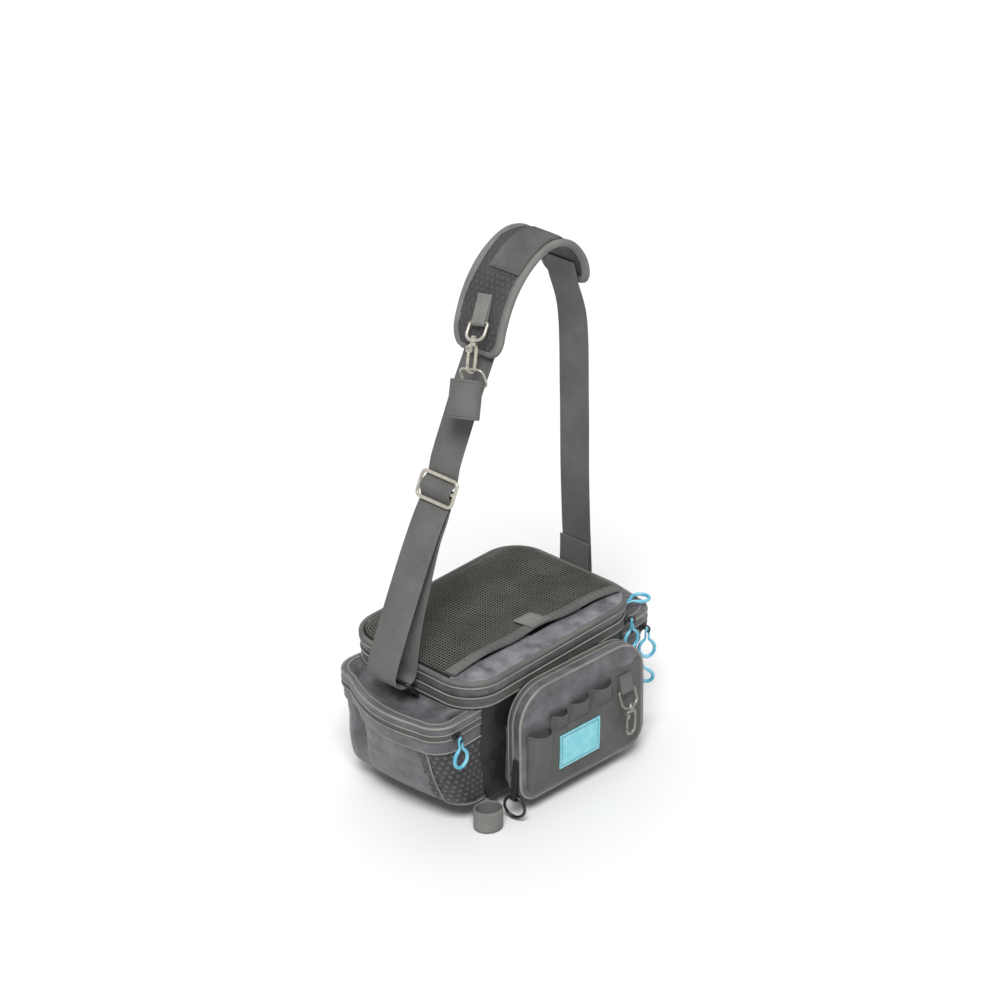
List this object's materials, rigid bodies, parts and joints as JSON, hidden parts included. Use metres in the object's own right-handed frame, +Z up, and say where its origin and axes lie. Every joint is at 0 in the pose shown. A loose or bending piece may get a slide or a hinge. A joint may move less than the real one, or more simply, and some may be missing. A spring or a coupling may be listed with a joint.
{
  "type": "lure bag",
  "caption": "Soft box-shaped shoulder bag for fishing lures with a zipped lid, mesh and end pockets, tool sleeves, rod loops and a padded strap.",
  "frame": {"origin": "under the crown of the shoulder pad, where the strap rests on the shoulder", "axes": "+Z up along the hanging bag, -Y towards the front pocket, +X to the right seen from the front"},
  "size_m": [0.3984, 0.2594, 0.6527],
  "materials": {
    "cloth": "coated woven polyester",
    "pad_cloth": "dotted woven polyester",
    "mesh": "open knitted mesh",
    "zip_tape": "woven tape with coil zip",
    "webbing": "woven webbing",
    "black_webbing": "woven webbing",
    "label": "moulded rubbery patch, left blank",
    "hook_metal": "satin off-white",
    "black_metal": "satin black",
    "pull_rubber": "matte"
  },
  "bodies": {
    "bag": {"main_body": "cloth", "main_lid": "cloth", "lid_hinge": "cloth", "left_pocket_body": "cloth", "left_pocket_lid": "cloth", "right_pocket_body": "cloth", "right_pocket_lid": "cloth", "front_pocket_gusset": "cloth", "front_pocket_hinge": "cloth", "front_pocket_panel": "cloth", "tool_panel": "cloth", "shoulder_pad": "pad_cloth", "pad_patch": "pad_cloth", "lid_mesh": "mesh", "lid_zip": "zip_tape", "left_pocket_zip": "zip_tape", "right_pocket_zip": "zip_tape", "front_pocket_zip": "zip_tape", "strap_left": "webbing", "strap_right": "webbing", "mesh_binding": "webbing", "mesh_tab": "webbing", "pad_binding": "webbing", "pad_tab": "webbing", "rod_band": "webbing", "rod_band_tab": "webbing", "lower_band": "webbing", "lower_band_tab": "webbing", "hook_tab": "webbing", "corner_tab": "black_webbing", "side_loop": "black_webbing", "left_ring_tab": "black_webbing", "right_ring_tab": "black_webbing", "label_patch": "label", "front_hook_eye": "hook_metal", "rod_hook_eye": "hook_metal", "rod_hook_body": "hook_metal", "rod_ring": "hook_metal", "strap_adjuster": "hook_metal", "left_ring": "black_metal", "right_ring": "black_metal", "corner_ring": "black_metal", "lid_slider_a": "black_metal", "lid_slider_b": "black_metal", "left_pocket_slider": "black_metal", "right_pocket_slider": "black_metal", "front_pocket_slider": "black_metal", "lid_pull_a": "pull_rubber", "lid_pull_b": "pull_rubber", "left_pocket_pull": "pull_rubber", "right_pocket_pull": "pull_rubber", "front_pocket_pull": "pull_rubber"},
    "front_hook": {"front_hook_body": "hook_metal"},
    "front_gate": {"front_hook_gate": "hook_metal"},
    "rod_gate": {"rod_hook_gate": "hook_metal"}
  },
  "joints": [
    {"name": "front_hook_swivel", "type": "hinge", "parent": "bag", "child": "front_hook", "pos_m": [0.00948, -0.15354, -0.55103], "axis": [0.0013, 0.0209, 0.9998], "continuous": true},
    {"name": "front_hook_gate", "type": "hinge", "parent": "front_hook", "child": "front_gate", "pos_m": [0.00298, -0.15339, -0.56302], "axis": [-0.061, -0.9979, 0.0209], "range_deg": [0, 25], "stiffness_Nm_per_rad": 0.02, "springref_deg": -11.46},
    {"name": "rod_hook_gate", "type": "hinge", "parent": "bag", "child": "rod_gate", "pos_m": [-0.11521, -0.01305, -0.08926], "axis": [0.0947, -0.9757, 0.1975], "range_deg": [0, 25], "stiffness_Nm_per_rad": 0.02, "springref_deg": -11.46}
  ]
}
